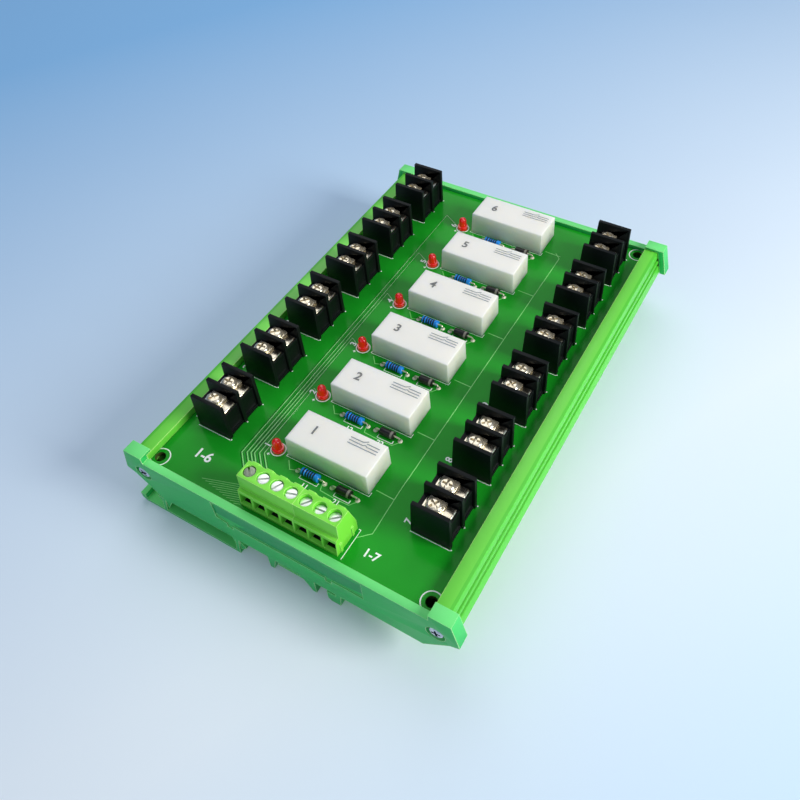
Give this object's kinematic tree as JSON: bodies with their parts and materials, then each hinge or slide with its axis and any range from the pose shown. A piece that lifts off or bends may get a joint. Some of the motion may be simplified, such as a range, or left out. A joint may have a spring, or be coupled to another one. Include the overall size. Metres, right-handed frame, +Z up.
{
  "type": "rail mounted relay module board",
  "caption": "Relay interface board in an extruded rail carrier, with barrier screw terminals on both sides and a screw terminal block in front.",
  "frame": {"origin": "centre of the footprint on the plane of the feet", "axes": "+X across the board, along each relay, +Y along the carrier away from the screw terminal block, +Z up"},
  "size_m": [0.1236, 0.1756, 0.0391],
  "materials": {
    "profile_plastic": "extruded yellow-green plastic",
    "end_plate_plastic": "moulded bluish-green plastic",
    "zinc_screws": "zinc plated steel",
    "board": "green solder mask with white print",
    "relay_case": "off-white moulded case",
    "led_lens": "red diffused lens",
    "resistor_body": "blue lacquer with dark bands",
    "diode_body": "black body with silver band",
    "terminal_plastic": "black moulded plastic",
    "nickel_contacts": "nickel plated brass strip",
    "nickel_screws": "nickel plated screws",
    "block_plastic": "light green moulded plastic",
    "block_metal": "zinc plated steel"
  },
  "bodies": {
    "root": {"carrier_profile": "profile_plastic", "circuit_board": "board", "diode_1": "diode_body", "diode_2": "diode_body", "diode_3": "diode_body", "diode_4": "diode_body", "diode_5": "diode_body", "diode_6": "diode_body", "end_plate_front": "end_plate_plastic", "end_plate_rear": "end_plate_plastic", "end_screws_front": "zinc_screws", "end_screws_rear": "zinc_screws", "led_1": "led_lens", "led_2": "led_lens", "led_3": "led_lens", "led_4": "led_lens", "led_5": "led_lens", "led_6": "led_lens", "relay_1": "relay_case", "relay_2": "relay_case", "relay_3": "relay_case", "relay_4": "relay_case", "relay_5": "relay_case", "relay_6": "relay_case", "resistor_1": "resistor_body", "resistor_2": "resistor_body", "resistor_3": "resistor_body", "resistor_4": "resistor_body", "resistor_5": "resistor_body", "resistor_6": "resistor_body", "terminal_block_3_pole": "block_plastic", "terminal_block_4_pole": "block_plastic", "terminal_block_clamps": "block_metal", "terminal_block_screws": "block_metal", "terminal_contacts_left": "nickel_contacts", "terminal_contacts_right": "nickel_contacts", "terminal_left_1": "terminal_plastic", "terminal_left_2": "terminal_plastic", "terminal_left_3": "terminal_plastic", "terminal_left_4": "terminal_plastic", "terminal_left_5": "terminal_plastic", "terminal_left_6": "terminal_plastic", "terminal_right_1": "terminal_plastic", "terminal_right_2": "terminal_plastic", "terminal_right_3": "terminal_plastic", "terminal_right_4": "terminal_plastic", "terminal_right_5": "terminal_plastic", "terminal_right_6": "terminal_plastic", "terminal_screws_left_1": "nickel_screws", "terminal_screws_left_2": "nickel_screws", "terminal_screws_left_3": "nickel_screws", "terminal_screws_left_4": "nickel_screws", "terminal_screws_left_5": "nickel_screws", "terminal_screws_left_6": "nickel_screws", "terminal_screws_right_1": "nickel_screws", "terminal_screws_right_2": "nickel_screws", "terminal_screws_right_3": "nickel_screws", "terminal_screws_right_4": "nickel_screws", "terminal_screws_right_5": "nickel_screws", "terminal_screws_right_6": "nickel_screws"}
  },
  "joints": []
}
